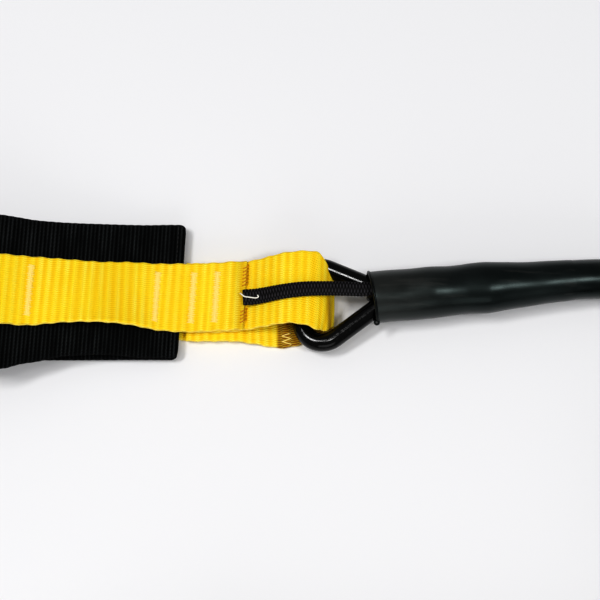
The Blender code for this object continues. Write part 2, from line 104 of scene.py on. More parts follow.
class Shader:
    """A Principled material and short calls that add nodes to it and return their outputs."""

    def __init__(self, name, roughness, metallic=0.0, **sockets):
        self.material = bpy.data.materials.new(name)
        self.material.use_nodes = True
        self.tree = self.material.node_tree
        self.bsdf = self.tree.nodes["Principled BSDF"]
        self.bsdf.inputs["Roughness"].default_value = roughness
        self.bsdf.inputs["Metallic"].default_value = metallic
        for socket, value in sockets.items():
            self.bsdf.inputs[socket.replace("_", " ")].default_value = value

    def add(self, kind, inputs=(), output=0, **settings):
        """A node with its inputs linked or set, and one of its outputs."""
        node = self.tree.nodes.new(kind)
        for name, value in settings.items():
            setattr(node, name, value)
        for key, value in inputs:
            if isinstance(value, bpy.types.NodeSocket):
                self.tree.links.new(value, node.inputs[key])
            else:
                node.inputs[key].default_value = value
        return node.outputs[output]

    def math(self, operation, a, b=0.0, c=0.0):
        return self.add("ShaderNodeMath", ((0, a), (1, b), (2, c)), operation=operation)

    def span(self, value, low, high, to_low=0.0, to_high=1.0):
        """Value moved from one range to another, and kept inside it."""
        return self.add("ShaderNodeMapRange", (("Value", value), ("From Min", low), ("From Max", high),
                                               ("To Min", to_low), ("To Max", to_high)))

    def noise(self, vector, scale, detail=3.0, rough=0.55, distortion=0.0):
        return self.add("ShaderNodeTexNoise", (("Vector", vector), ("Scale", scale), ("Detail", detail),
                                               ("Roughness", rough), ("Distortion", distortion)))

    def drawn_noise(self, vector, scale, detail=3.0, rough=0.55):
        """Noise stretched along one direction: scale is per axis."""
        stretched = self.add("ShaderNodeMapping", (("Vector", vector), ("Scale", scale)))
        return self.noise(stretched, 1.0, detail, rough)

    def mix(self, share, a, b):
        """Colour a towards colour b by share."""
        return self.add("ShaderNodeMix", ((0, share), (6, a), (7, b)), output=2, data_type="RGBA")

    def wear_and_shade(self):
        """What write_wear_and_shade put on the mesh, or 0."""
        # The mask carries painted shade on the webbing and wear on the rubber
        return self.add("ShaderNodeAttribute", output="Fac", attribute_name="wear_and_shade")

    def place(self):
        return self.add("ShaderNodeTexCoord", output="Object")

    def weave(self):
        """Millimetres along and across the webbing, and 0 to 1 from its middle to its edge."""
        vector = self.add("ShaderNodeAttribute", output="Vector", attribute_name="weave")
        split = self.tree.nodes.new("ShaderNodeSeparateXYZ")
        self.tree.links.new(vector, split.inputs[0])
        return vector, split.outputs[0], split.outputs[1], split.outputs[2]

    def link(self, socket, value):
        self.tree.links.new(value, self.bsdf.inputs[socket])

    def bump(self, height, distance, strength=1.0, under=None):
        """Bump over an optional coarser one."""
        inputs = [("Height", height), ("Distance", distance), ("Strength", strength)]
        if under is not None:
            inputs.append(("Normal", under))
        made = self.add("ShaderNodeBump", inputs)
        self.link("Normal", made)
        return made


def grey(value, tint=(1.0, 1.0, 1.0)):
    """A grey with a slight tint, as a socket colour."""
    return (value * tint[0], value * tint[1], value * tint[2], 1.0)


# ---------------------------------------------------------------- materials

def webbing_material(name, crown, body, valley, edge, wear_and_shade, rib, yarn, roughness, gloss, depth):
    """Ribbed webbing: warp yarns run along it and float over each rib, half a yarn apart in turn."""
    s = Shader(name, roughness, Specular_IOR_Level=gloss)
    vector, along, across, rim = s.weave()
    place = s.place()
    slow = s.noise(place, 70.0, 3.0)
    wander = s.noise(vector, 0.30, 3.0)
    uneven = s.drawn_noise(vector, (0.32, 0.05, 1.0), 2.0)
    order = s.math("FLOOR", s.math("DIVIDE", along, rib))
    shift = s.math("MULTIPLY_ADD", order, math.pi, s.math("MULTIPLY", along, 1.1))
    lanes = s.math("ADD", s.math("MULTIPLY", across, 2 * math.pi / yarn), shift)
    lanes = s.math("ADD", lanes, s.math("MULTIPLY", wander, 5.0))
    yarns = s.math("MULTIPLY_ADD", s.math("SINE", lanes), 0.5, 0.5)
    turn = s.math("MULTIPLY_ADD", s.math("SINE", lanes), 0.55, s.math("MULTIPLY", along, 2 * math.pi / rib))
    ridge = s.math("MULTIPLY_ADD", s.math("COSINE", turn), 0.5, 0.5)
    fibre = s.drawn_noise(vector, (1.4, 7.0, 1.0), 4.0, 0.65)
    # Painted shade and highlight: the valley colour in the dips between ribs, the crown colour on the yarns
    # over each rib's top
    tone = s.mix(s.span(ridge, 0.05, 0.7), valley, body)
    lit = s.math("MULTIPLY", s.span(yarns, 0.25, 0.9), s.span(ridge, 0.35, 0.9, 0.1, 1.0))
    tone = s.mix(s.math("MULTIPLY", lit, s.span(uneven, 0.35, 0.6, 0.35, 1.0)), tone, crown)
    tone = s.mix(s.span(slow, 0.40, 0.64, 0.0, 0.4), tone, body)
    # Painted shade in the gaps between yarns
    sunk = s.math("MULTIPLY", s.span(yarns, 0.3, 0.0, 0.0, depth), s.span(fibre, 0.3, 0.6))
    tone = s.mix(sunk, tone, valley)
    lot = s.add("ShaderNodeTexWhiteNoise", (("W", order),), noise_dimensions="1D")
    tone = s.mix(s.math("MULTIPLY", lot, 0.45), tone, valley)
    # Painted highlight: the edge colour along both selvages, where they catch the light
    tone = s.mix(s.span(rim, 0.965, 1.0, 0.0, 0.55), tone, edge)
    # The mask on the mesh mixes in the fifth colour: painted shade on the tab, a darker orange near the main
    # strap's sewn end
    tone = s.mix(s.math("MULTIPLY", s.wear_and_shade(), s.span(yarns, 0.0, 0.8, 1.0, 0.62)), tone, wear_and_shade)
    s.link("Base Color", tone)
    s.link("Roughness", s.span(fibre, 0.3, 0.7, roughness - 0.08, roughness + 0.12))
    height = s.math("MULTIPLY_ADD", yarns, 0.75, s.math("MULTIPLY", fibre, 0.4))
    s.bump(height, 0.24 * MM, 0.9)
    return s.material


def thread_material(name, light, dark):
    """Twisted thread: fine slanted strands with a little fuzz."""
    s = Shader(name, 0.6, Specular_IOR_Level=0.2)
    _, along, across, _ = s.weave()
    twist = s.math("SINE", s.math("MULTIPLY_ADD", along, 7.0, s.math("MULTIPLY", across, 1.0)))
    strand = s.math("MULTIPLY_ADD", twist, 0.5, 0.5)
    fuzz = s.noise(s.place(), 1800.0, 2.0)
    s.link("Base Color", s.mix(s.math("MULTIPLY", strand, fuzz), light, dark))
    s.bump(s.math("ADD", strand, fuzz), 0.06 * MM, 0.7)
    return s.material


def braid_material(name, light, dark):
    """Black flat braid: the strands are in the mesh, the fibres are here."""
    s = Shader(name, 0.5, Specular_IOR_Level=0.15)
    vector, _, _, crown = s.weave()
    fibre = s.drawn_noise(vector, (5.0, 9.0, 1.0), 4.0)
    # Painted highlight on the strands' crowns
    lit = s.math("MULTIPLY", s.span(crown, 0.45, 0.95), s.span(fibre, 0.3, 0.65, 0.25, 1.0))
    s.link("Base Color", s.mix(lit, dark, light))
    s.link("Roughness", s.span(fibre, 0.3, 0.7, 0.38, 0.7))
    s.bump(fibre, 0.08 * MM, 0.6)
    return s.material


def coated_steel_material(name):
    """Thick gloss black coating with a slight orange peel and a few dust marks."""
    s = Shader(name, 0.12, Specular_IOR_Level=0.3)
    place = s.place()
    peel = s.noise(place, 420.0, 2.0)
    dust = s.noise(place, 900.0, 5.0, 0.7)
    marks = s.span(dust, 0.62, 0.75)
    s.link("Base Color", s.mix(marks, grey(0.003), grey(0.02)))
    s.link("Roughness", s.span(dust, 0.45, 0.8, 0.1, 0.35))
    s.bump(peel, 0.05 * MM, 0.25)
    return s.material


def rubber_material(name, dark, light, worn, roughness, wear, gloss=0.34):
    """Satin rubber: a soft bloom in patches, fine pores, drawn streaks, and wear where it is handled."""
    s = Shader(name, roughness, Specular_IOR_Level=gloss, Specular_Tint=(0.8, 1.0, 0.98, 1.0))
    place = s.place()
    bloom = s.noise(place, 38.0, 4.0, 0.6, 0.4)
    pores = s.noise(place, 1400.0, 3.0, 0.6)
    drawn = s.drawn_noise(place, (60.0, 420.0, 420.0))
    tone = s.mix(s.span(bloom, 0.35, 0.7), dark, light)
    tone = s.mix(s.span(drawn, 0.58, 0.72, 0.0, wear), tone, worn)
    tone = s.mix(s.math("MULTIPLY", s.wear_and_shade(), s.span(bloom, 0.3, 0.6, 0.5, 1.0)), tone, worn)
    s.link("Base Color", tone)
    dull = s.math("ADD", bloom, s.math("MULTIPLY", drawn, 0.5))
    s.link("Roughness", s.span(dull, 0.4, 1.1, roughness - 0.08, roughness + 0.12))
    under = s.bump(pores, 0.03 * MM, 0.35)
    s.bump(drawn, 0.12 * MM, 0.3, under)
    return s.material


def metal_material(name, light, dark, roughness):
    """Drawn metal: fine brushing along X, cloudy wear and darker pits."""
    s = Shader(name, roughness, 1.0)
    place = s.place()
    brush = s.drawn_noise(place, (140.0, 2600.0, 2600.0))
    cloud = s.noise(place, 130.0, 4.0)
    s.link("Base Color", s.mix(s.span(cloud, 0.35, 0.7), light, dark))
    s.link("Roughness", s.span(s.math("ADD", brush, cloud), 0.7, 1.4, roughness - 0.06, roughness + 0.1))
    s.bump(brush, 0.01 * MM, 0.2)
    return s.material


def floor_material(name):
    """Plain pale board with a faint tone change."""
    s = Shader(name, 0.6, Specular_IOR_Level=0.15)
    tone = s.noise(s.place(), 2.0, 1.0)
    s.link("Base Color", s.mix(tone, (0.80, 0.80, 0.815, 1.0), (0.82, 0.815, 0.82, 1.0)))
    return s.material


# Webbing colours run crown, body, valley, edge, then the masked colour: crown and edge are painted highlight,
# valley is painted shade and also darkens some ribs at random
YELLOW = webbing_material("yellow_webbing", (1.0, 0.90, 0.16, 1.0), (0.99, 0.77, 0.026, 1.0),
                          (0.93, 0.58, 0.009, 1.0), (0.98, 0.82, 0.25, 1.0), (0.19, 0.06, 0.01, 1.0),
                          STRAP_RIB, 0.84, 0.65, 0.12, 0.8)
BLACK = webbing_material("black_webbing", grey(0.075, (0.90, 1.0, 1.02)), grey(0.007, (0.93, 1.0, 1.03)),
                         grey(0.0008), grey(0.012), grey(0.003), GRIP_RIB, 0.5, 0.6, 0.05, 0.4)
TIE = webbing_material("tie_webbing", grey(0.03), grey(0.014), grey(0.004), grey(0.03), grey(0.01),
                       0.9, 0.7, 0.75, 0.2, 0.5)
TACK = thread_material("tack_thread", (1.0, 0.80, 0.27, 1.0), (0.97, 0.72, 0.15, 1.0))
END_THREAD = thread_material("end_thread", (0.70, 0.30, 0.02, 1.0), (0.38, 0.13, 0.01, 1.0))
WHITE_THREAD = thread_material("white_thread", (0.92, 0.90, 0.82, 1.0), (0.66, 0.63, 0.55, 1.0))
BLACK_THREAD = thread_material("black_thread", grey(0.035), grey(0.008))
BRAID = braid_material("braided_cord", grey(0.06, (1.0, 0.93, 1.05)), grey(0.001))
COATED = coated_steel_material("coated_steel")
SLEEVE_RUBBER = rubber_material("sleeve_rubber", grey(0.003, (0.75, 1.0, 1.0)), grey(0.009, (0.8, 1.0, 1.0)),
                                (0.060, 0.058, 0.054, 1.0), 0.30, 0.25)
TUBE_RUBBER = rubber_material("tube_rubber", grey(0.003, (0.75, 1.0, 1.0)), grey(0.009, (0.8, 1.0, 1.0)),
                              grey(0.025), 0.30, 0.2)
BAND_RUBBER = rubber_material("band_rubber", grey(0.004), grey(0.008), grey(0.03), 0.3, 0.1, 0.2)
STEEL = metal_material("plug_steel", grey(0.40), grey(0.22), 0.38)
# A darker copy of the plug steel: painted shade for the front plug inside the sleeve's mouth
SHADED_STEEL = metal_material("shaded_steel", grey(0.05), grey(0.02), 0.4)
ALLOY = metal_material("carabiner_alloy", grey(0.68, (1.0, 1.0, 1.02)), grey(0.5), 0.26)
FLOOR = floor_material("floor")


# ---------------------------------------------------------------- mesh helpers

def smooth(points, steps=12):
    """A Catmull-Rom curve through rows of any number of coordinates."""
    p = np.array(points, float)
    ends = np.vstack([2 * p[0] - p[1], p, 2 * p[-1] - p[-2]])
    t = np.linspace(0, 1, steps, endpoint=False)[:, None]
    rows = []
    for i in range(len(p) - 1):
        a, b, c, d = ends[i:i + 4]
        rows.append(0.5 * (2 * b + (c - a) * t + (2 * a - 5 * b + 4 * c - d) * t ** 2
                           + (3 * b - a - 3 * c + d) * t ** 3))
    return np.vstack([*rows, p[-1:]])


def travelled(points):
    """The distance along a path at each of its points."""
    return np.concatenate([[0.0], np.cumsum(np.linalg.norm(np.diff(points, axis=0), axis=1))])


def even(path, step):
    """The path's rows at equal distances along its first three coordinates, and those distances."""
    reach = travelled(path[:, :3])
    count = max(2, int(round(reach[-1] / step)) + 1)
    at = np.linspace(0, reach[-1], count)
    return np.stack([np.interp(at, reach, column) for column in path.T], 1), at


def unit(rows):
    """Each row at length 1."""
    return rows / np.maximum(np.linalg.norm(rows, axis=1, keepdims=True), 1e-12)


def ease(value, low, high):
    """0 below low, 1 above high, and a smooth step between them."""
    t = np.clip((value - low) / (high - low), 0, 1)
    return t * t * (3 - 2 * t)


def bell(value, centre, spread):
    """1 at the centre and falling away on both sides."""
    return np.exp(-((value - centre) / spread) ** 2)


def add_object(name, data):
    """A new object in the scene with this data."""
    obj = bpy.data.objects.new(name, data)
    bpy.context.scene.collection.objects.link(obj)
    return obj


def write_wear_and_shade(obj, values):
    """One number per vertex: a mask the materials read for painted shade and wear."""
    attribute = obj.data.attributes.new("wear_and_shade", "FLOAT", "POINT")
    attribute.data.foreach_set("value", values.reshape(-1).astype(np.float32))


def weave_of(along, around, rim):
    """The weave vectors of a grid: any three arrays that broadcast to one shape."""
    return np.stack(np.broadcast_arrays(along, around, rim), -1)


def grid_mesh(name, rows, material, weave, ends=True, body=HANDLE, slot=None):
    """A skin over an array of points (stations, section, 3) in millimetres, closed round each section."""
    n, k, _ = rows.shape
    mesh = bpy.data.meshes.new(name)
    index = np.arange(n * k).reshape(n, k)
    a = index[:-1]
    b = index[1:]
    faces = np.stack([a, np.roll(a, -1, 1), np.roll(b, -1, 1), b], -1).reshape(-1, 4).tolist()
    if ends:
        for ring, flip in ((index[0], False), (index[-1], True)):
            for i in range(k // 2):
                face = [ring[-i % k], ring[-(i + 1) % k], ring[i + 1], ring[i]]
                face = list(dict.fromkeys(int(v) for v in face))
                faces.append(face[::-1] if flip else face)
    mesh.from_pydata((rows.reshape(-1, 3) * MM).tolist(), [], faces)
    attribute = mesh.attributes.new("weave", "FLOAT_VECTOR", "POINT")
    attribute.data.foreach_set("vector", weave.reshape(-1).astype(np.float32))
    mesh.validate()
    mesh.shade_smooth()
    mesh.materials.append(material)
    obj = add_object(name, mesh)
    if body:
        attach(obj, body)
    return obj


class Strap:
    """How webbing lies: (x, y, z, width, roll, curl) stations along its middle, in millimetres and degrees.

    Curl lifts the edge on the -Y side and draws it in. Lean turns the ribs, in degrees.
    """

    def __init__(self, stations, step, lean=0.0, across=(0.0, 1.0, 0.0)):
        self.path, self.at = even(smooth(stations), step)
        along = unit(np.gradient(self.path[:, :3], axis=0))
        across = np.array([across])
        plain = unit(along - across * (along * across).sum(1, keepdims=True))
        self.side = across * math.cos(math.radians(lean)) - plain * math.sin(math.radians(lean))
        self.out = np.cross(across, plain)
        self.length = self.at[-1]

    def read(self, columns, at):
        """Rows interpolated at these distances."""
        return np.stack([np.interp(at, self.at, column) for column in columns.T], 1)

    def lay(self, at, sideways, rise):
        """Points at these distances, each with a row of sideways and outward millimetres."""
        path, side, out = self.read(self.path, at), self.read(self.side, at), self.read(self.out, at)
        edge = np.clip(-2 * sideways / path[:, 3:4], 0, 1.1)
        flat = sideways + path[:, 5:6] * 0.45 * edge ** 3
        lifted = rise + path[:, 5:6] * edge ** 2.2
        roll = np.radians(path[:, 4:5])
        u = flat * np.cos(roll) - lifted * np.sin(roll)
        w = flat * np.sin(roll) + lifted * np.cos(roll)
        return path[:, None, :3] + side[:, None] * u[..., None] + out[:, None] * w[..., None]

    def spot(self, at, sideways, rise):
        """One point on it."""
        return self.lay(np.array([at]), np.array([[sideways]]), np.array([[rise]]))[0, 0]

    def where(self, x, last=False):
        """The distance along at which it first, or last, passes this x."""
        order = np.argsort(np.abs(self.path[:, 0] - x))[:8]
        return float(self.at[order.max() if last else order.min()])


HEM_CORNER = 2.2


def webbing(name, strap, thick, rib, rib_height, material, across=26, hem=0.0, scallop=0.3, wear_and_shade=None,
            **placing):
    """The mesh of a strap: ribs across it, scalloped edges, and a doubled hem at both ends if asked for.

    The mask function, given points and outside, gives each vertex a share of painted shade and wear; outside
    is true on the face turned out of the bend.
    """
    at, total = strap.at, strap.length
    v = np.sin(np.linspace(-0.5, 0.5, across) * math.pi)
    face = np.concatenate([v, v[-2:0:-1]])
    upper = np.concatenate([np.ones(across), -np.ones(across - 2)])
    round_edge = np.sqrt(np.clip(1 - np.abs(face) ** 24, 0, 1))
    phase = 2 * math.pi * at / rib
    ridge = np.abs(np.cos(phase / 2)) ** 0.7 - 0.62
    wobble = 0.10 * np.sin(at / 23.0) + 0.06 * np.sin(at / 7.3 + 1.0)
    width = strap.path[:, 3] / 2 + scallop * np.cos(phase / 4) ** 2 + wobble
    near_end = np.minimum(at, total - at)
    body = np.full_like(at, thick / 2)
    if hem:
        corner = np.clip(near_end / HEM_CORNER, 0, 1)
        width = width - HEM_CORNER * (1 - np.sqrt(1 - (1 - corner) ** 2))
        body = body + 0.38 * thick * (1 - ease(near_end, hem - 0.5, hem + 0.5))
        body = body * np.sqrt(np.clip(1 - (1 - np.minimum(near_end / 1.1, 1)) ** 2, 0.02, 1))
    else:
        body = body * (0.55 + 0.45 * ease(near_end, 0.0, 0.5))
    height = body[:, None] * round_edge + rib_height * ridge[:, None] * (round_edge > 0.3)
    selvage = 0.10 * np.exp(-((np.abs(face) - 0.94) / 0.035) ** 2) * thick
    sideways = width[:, None] * face
    rows = strap.lay(at, sideways, (height + selvage) * upper)
    obj = grid_mesh(name, rows, material, weave_of(at[:, None], sideways, np.abs(face)), **placing)
    if wear_and_shade is not None:
        write_wear_and_shade(obj, wear_and_shade(rows, np.broadcast_to(upper > 0, sideways.shape)))
    return obj


def tube_mesh(name, points, radius, material, sides=12, cyclic=False, **placing):
    """A round rod along close points in millimetres; radius may vary from point to point."""
    p = np.array(points, float)
    if cyclic:
        along = unit(np.roll(p, -1, 0) - np.roll(p, 1, 0))
    else:
        along = unit(np.gradient(p, axis=0))
    normal = np.zeros_like(p)
    seed = np.array([0.0, 0.0, 1.0]) if abs(along[0][2]) < 0.9 else np.array([1.0, 0.0, 0.0])
    for i, direction in enumerate(along):
        seed = seed - direction * seed.dot(direction)
        seed = seed / np.linalg.norm(seed)
        normal[i] = seed
    other = np.cross(along, normal)
    angle = np.linspace(0, 2 * math.pi, sides, endpoint=False)
    radii = np.broadcast_to(np.asarray(radius, float), (len(p),))[:, None, None]
    ring = normal[:, None] * np.cos(angle)[None, :, None] + other[:, None] * np.sin(angle)[None, :, None]
    rows = p[:, None] + ring * radii
    weave = weave_of(travelled(p)[:, None], angle, 0.0)
    if cyclic:
        rows = np.concatenate([rows, rows[:1]])
        weave = np.concatenate([weave, weave[:1]])
        obj = grid_mesh(name, rows, material, weave, ends=False, **placing)
        weld(obj)
        return obj
    return grid_mesh(name, rows, material, weave, **placing)


def weld(obj, distance=0.00001):
    """Join coincident points and turn all faces outwards."""
    bm = bmesh.new()
    bm.from_mesh(obj.data)
    bmesh.ops.remove_doubles(bm, verts=bm.verts, dist=distance)
    bmesh.ops.recalc_face_normals(bm, faces=bm.faces)
    bm.to_mesh(obj.data)
    bm.free()


def join(pieces, name, body):
    """One object of several with the same material, placed on a body."""
    with bpy.context.temp_override(active_object=pieces[0], selected_editable_objects=pieces,
                                   selected_objects=pieces, object=pieces[0]):
        bpy.ops.object.join()
    pieces[0].name = name
    pieces[0].data.name = name
    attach(pieces[0], body)
    return pieces[0]


def spun_mesh(name, centre_of, profile, material, wear_and_shade, axes=(ACROSS, ALONG), sides=72, relief=None,
              skew=None, **placing):
    """A turned skin: (distance, radius) points round an axis given by centre_of(distance).

    Relief adds to the radius by distance and angle. Skew leans a section by that share of its sideways reach.
    """
    rows = []
    angle = np.linspace(0, 2 * math.pi, sides, endpoint=False)
    a, u, forward = np.array(axes[0]), np.array(UP), np.array(axes[1])
    for distance, radius in profile:
        centre = np.array(centre_of(distance)) / MM
        r = np.full(sides, radius)
        if relief is not None:
            r = r + relief(distance, angle)
        section = centre + a * (r * np.cos(angle))[:, None] + u * (r * np.sin(angle))[:, None]
        if skew is not None:
            section = section - forward * (skew(distance) * r * np.cos(angle))[:, None]
        rows.append(section)
    distances = np.array([distance for distance, _ in profile])[:, None]
    obj = grid_mesh(name, np.array(rows), material, weave_of(distances, angle, 0.0), ends=False, **placing)
    write_wear_and_shade(obj, np.repeat(wear_and_shade(distances), sides, axis=1))
    return obj


# ---------------------------------------------------------------- camera and light

# Towards the camera, and the picture's right and up
VIEW_BACK = Vector((0.0, -math.cos(ELEVATION), math.sin(ELEVATION)))
VIEW_RIGHT = Vector((1.0, 0.0, 0.0))
VIEW_UP = Vector((0.0, math.sin(ELEVATION), math.cos(ELEVATION)))


def make_camera():
    """Nearly overhead, tilted a little towards the front of the handle."""
    aim = Vector((0.0, -1.2 * MM, 6 * MM))
    data = bpy.data.cameras.new("camera")
    data.sensor_width = SENSOR
    data.lens = SENSOR * PIXELS_PER_MM * CAMERA_DISTANCE / MM / IMAGE_SIDE
    camera = add_object("camera", data)
    camera.location = aim + VIEW_BACK * CAMERA_DISTANCE
    camera.rotation_euler = (math.pi / 2 - ELEVATION, 0.0, 0.0)
    bpy.context.scene.camera = camera


def make_strip(name, bearing, lean, size, power):
    """A softbox aimed at the object from a bearing in the picture, lean degrees off the camera's axis.

    Size is its extent in metres in the direction of the lean, and across it.
    """
    turn, lean = math.radians(bearing), math.radians(lean)
    aside = VIEW_RIGHT * math.cos(turn) + VIEW_UP * math.sin(turn)
    direction = VIEW_BACK * math.cos(lean) + aside * math.sin(lean)
    data = bpy.data.lights.new(name, "AREA")
    data.shape = "RECTANGLE"
    data.size, data.size_y = size
    data.energy = power
    x_axis = (aside - direction * aside.dot(direction)).normalized()
    basis = Matrix((x_axis, direction.cross(x_axis), direction)).transposed().to_4x4()
    add_object(name, data).matrix_world = Matrix.Translation(direction * LIGHT_DISTANCE) @ basis


def make_light():
    """Even light from all round, a key at the upper left, two small boxes overhead and a broad front fill."""
    world = bpy.data.worlds.new("studio")
    bpy.context.scene.world = world
    world.use_nodes = True
    sky = world.node_tree.nodes["Background"]
    sky.inputs["Color"].default_value = (0.985, 0.99, 1.0, 1.0)
    sky.inputs["Strength"].default_value = SKY
    make_strip("key", 147, 29, (0.16, 0.36), KEY_POWER)
    make_strip("overhead", 140, 12.7, (0.20, 0.09), TOP_POWER)
    make_strip("overhead_right", 3, 26, (0.14, 0.24), RIGHT_POWER)
    make_strip("front", -90, 50, (0.60, 0.90), FRONT_POWER)
    settings = bpy.context.scene.view_settings
    settings.view_transform = "Standard"
    settings.look = "High Contrast"


def make_floor():
    """A plain pale floor, which is not part of the object."""
    bpy.ops.mesh.primitive_plane_add(size=6.0, location=(0.0, 0.0, 0.0))
    floor = bpy.context.object
    floor.name = "floor"
    floor.data.materials.append(FLOOR)


# ---------------------------------------------------------------- tow tube

COIL_CENTRE = np.array([203.0, -66.0, 0.0])
COIL_RADIUS = 74.0
COIL_FLOOR = 1.5
REAR_EYE = Vector(JOINT["carabiner_swing"]["pos_m"])
TUBE_START = 41.0                    # from the ring's bar
REAR_TUBE_END = -36.0                # along X


def tube_route():
    """Centre line in millimetres: out of the sleeve, one and a half turns, and back below the handle."""
    low = TUBE_RADIUS + 0.1
    in_sleeve = [tuple(tow_point(TUBE_START + (SLEEVE_END - TUBE_START) * i / 4) / MM) for i in range(5)]
    lead = smooth(in_sleeve + [(111, 5.9, 9.3), (126, 6.8, low), (140, 7.4, low), (155.5, 7.8, low),
                               (180, 8.0, 8.0)], 4)
    first, second = COIL_FLOOR + TUBE_RADIUS, COIL_FLOOR + 3 * TUBE_RADIUS
    coil = []
    for i in range(55):
        turned = 10 * i
        angle = math.radians(90 - turned)
        climb = float(ease(turned, 220, 320))
        coil.append((COIL_CENTRE[0] + COIL_RADIUS * math.cos(angle),
                     COIL_CENTRE[1] + COIL_RADIUS * math.sin(angle), first + (second - first) * climb))
    y, rest = REAR_EYE.y / MM, REAR_EYE.z / MM
    tail = smooth([(155.5, y, 21.5), (140, y, 18.2), (124, y, 14.0), (108, y, 10.6), (92, y, rest),
                   (30, y, rest), (REAR_TUBE_END, y, rest)], 4)
    return np.vstack([lead, coil, tail])


def make_tube():
    """The tow tube as one bevelled curve, and its length in millimetres."""
    route = tube_route()
    curve = bpy.data.curves.new("tow_tube", "CURVE")
    curve.dimensions = "3D"
    curve.bevel_depth = TUBE_RADIUS * MM
    curve.bevel_resolution = 8
    curve.use_fill_caps = True
    spline = curve.splines.new("POLY")
    spline.points.add(len(route) - 1)
    for target, point in zip(spline.points, route):
        target.co = (*(point * MM), 1.0)
    spline.use_smooth = True
    curve.materials.append(TUBE_RUBBER)
    tube = add_object("tow_tube", curve)
    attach(tube, TOW)
    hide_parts("tube_lead", "tube_coil", "tube_tail")
    return tube, float(travelled(route)[-1])


make_camera()
make_light()
make_floor()
TUBE, TUBE_LENGTH = make_tube()


# ---------------------------------------------------------------- hand loop

STRAP_FLAT = STRAP_THICK / 2 + 0.15
GRIP_FLAT = STRAP_THICK + 0.3 + GRIP_THICK / 2

# Each strap's stations start at its sewn end. The main strap runs along the top, round the far bend and back
# along the floor, the grip follows it on the inside, and the tab goes over the ring's bar and back under it.

MAIN = Strap([
    (-19.9, 0.0, 7.6, 25.5, 0, 0), (-24, 0.0, 7.7, 25.5, 0, 0), (-30.8, -0.4, 7.25, 25.5, 0, 0.2),
    (-39.5, -0.7, 7.2, 25.6, 0, 0.1), (-46, -0.7, 7.6, 25.5, -2, 0.1), (-52.5, -0.4, 7.6, 25.3, -5, 0.2),
    (-62, 0.0, 10.4, 25.0, -11, 0.5), (-73, -0.3, 13.4, 24.7, -14, 0.6), (-85, -0.3, 15.0, 25.0, -9, 0.4),
    (-97.4, -0.6, 16.6, 25.8, -2, 0), (-110, -0.9, 22.4, 25.5, 0, 0.3), (-126, -0.2, 27.2, 25.5, 0, 0.4),
    (-142, 0, 30.2, 25.5, 0, 0), (-166, 0, 36.4, 25.5, 0, 0), (-187, 0, 37.2, 25.5, 0, 0),
    (-203, 0, 35.8, 25.5, 0, 0), (-216.8, 0, 29.6, 25.5, 0, 0), (-223.2, 0, 19, 25.5, 0, 0),
    (-215.6, 0, 7, 25.5, 0, 0), (-202, 0, 1.9, 25.5, 0, 0), (-188, 0, STRAP_FLAT, 25.5, 0, 0),
    (-150, 0, STRAP_FLAT, 25.5, 0, 0), (-100, 0, STRAP_FLAT, 25.5, 0, 0), (-70, -0.8, STRAP_FLAT, 25.5, 0, 0),
    (-45, -2.4, STRAP_FLAT, 25.5, 0, 0), (-20.5, -2.6, STRAP_FLAT, 25.5, 0, 0)], 0.33, lean=3.0)

GRIP = Strap([
    (-43.0, 2.5, 5.3, 50.0, 0, 0), (-48, 2.5, 5.3, 50.1, 0, 0), (-57, 2.4, 5.4, 50.1, 0, 0),
    (-70, 2.4, 8.0, 49.2, 0, 0), (-84, 1.5, 11.0, 50.0, 0, 0), (-92, 0.4, 12.9, 52.1, 0, 0),
    (-98, -0.3, 14.8, 53.7, 0, 0), (-104, -1.1, 16.9, 56.4, 0, 0), (-112, -1.2, 19.6, 57.4, 0, 0),
    (-130, -0.4, 25.4, 54.5, 0, 0), (-145, 0, 28.6, 51.5, 0, 0), (-168, 0, 33.8, 50.5, 0, 0),
    (-187, 0, 34.5, 50.5, 0, 0), (-202, 0, 33.0, 50.5, 0, 0), (-214.0, 0, 27.6, 50.5, 0, 0),
    (-219.8, 0, 19, 50.5, 0, 0), (-213.2, 0, 9.0, 50.5, 0, 0), (-201, 0, 4.6, 50.5, 0, 0),
    (-187, 0, GRIP_FLAT, 50.5, 0, 0), (-150, 0.8, GRIP_FLAT, 50.5, 0, 0), (-100, 2.3, GRIP_FLAT, 50.5, 0, 0),
    (-70, 2.4, GRIP_FLAT, 50.5, 0, 0), (-45.5, 2.4, GRIP_FLAT, 50.5, 0, 0)], 0.18, lean=2.6)

TAB = Strap([
    (-42.0, 0, 5.1, 25.5, 0, 0), (-30, -0.2, 5.1, 25.5, 0, 0), (-21, 0.3, 5.5, 25.5, 0, 0),
    (-14, 0.9, 8.4, 25.6, 0, 0), (-7, 1.6, 11.8, 26.0, 0, 0), (-2, 1.8, 12.9, 26.4, 0, 0),
    (3, 1.35, 13.1, 27.5, 0, 0.2), (6.3, 0.3, 12.6, 28.4, 0, 1.0), (8.9, -1.4, 11.0, 25.8, 0, 1.8),
    (10.7, -3.2, 8.9, 21.2, 0, 1.2), (11.6, -3.5, 6.3, 16.4, 0, 0.4), (10.8, -3.6, 3.5, 16.4, 0, 0),
    (7.6, -4.1, 1.5, 18.0, 0, 0), (3.2, -4.7, 1.15, 21.0, 0, 0), (-3, -5.1, 1.15, 24.8, 0, 0),
    (-9, -5.1, 1.2, 25.5, 0, 0), (-16, -4.1, 2.1, 25.5, 0, 0), (-24, -3.2, 3.0, 25.5, 0, 0),
    (-33, -3.2, 3.0, 25.5, 0, 0), (-42.0, -3.3, 3.0, 25.5, 0, 0)], 0.33, lean=-2.0)


def strap_end_tone(points, outside):
    """Darker orange on the top layer's outer face, just before the strap's sewn end."""
    x, z = points[..., 0], points[..., 2]
    return 0.3 * bell(x, -21.5, 2.6) * (z > 4) * outside


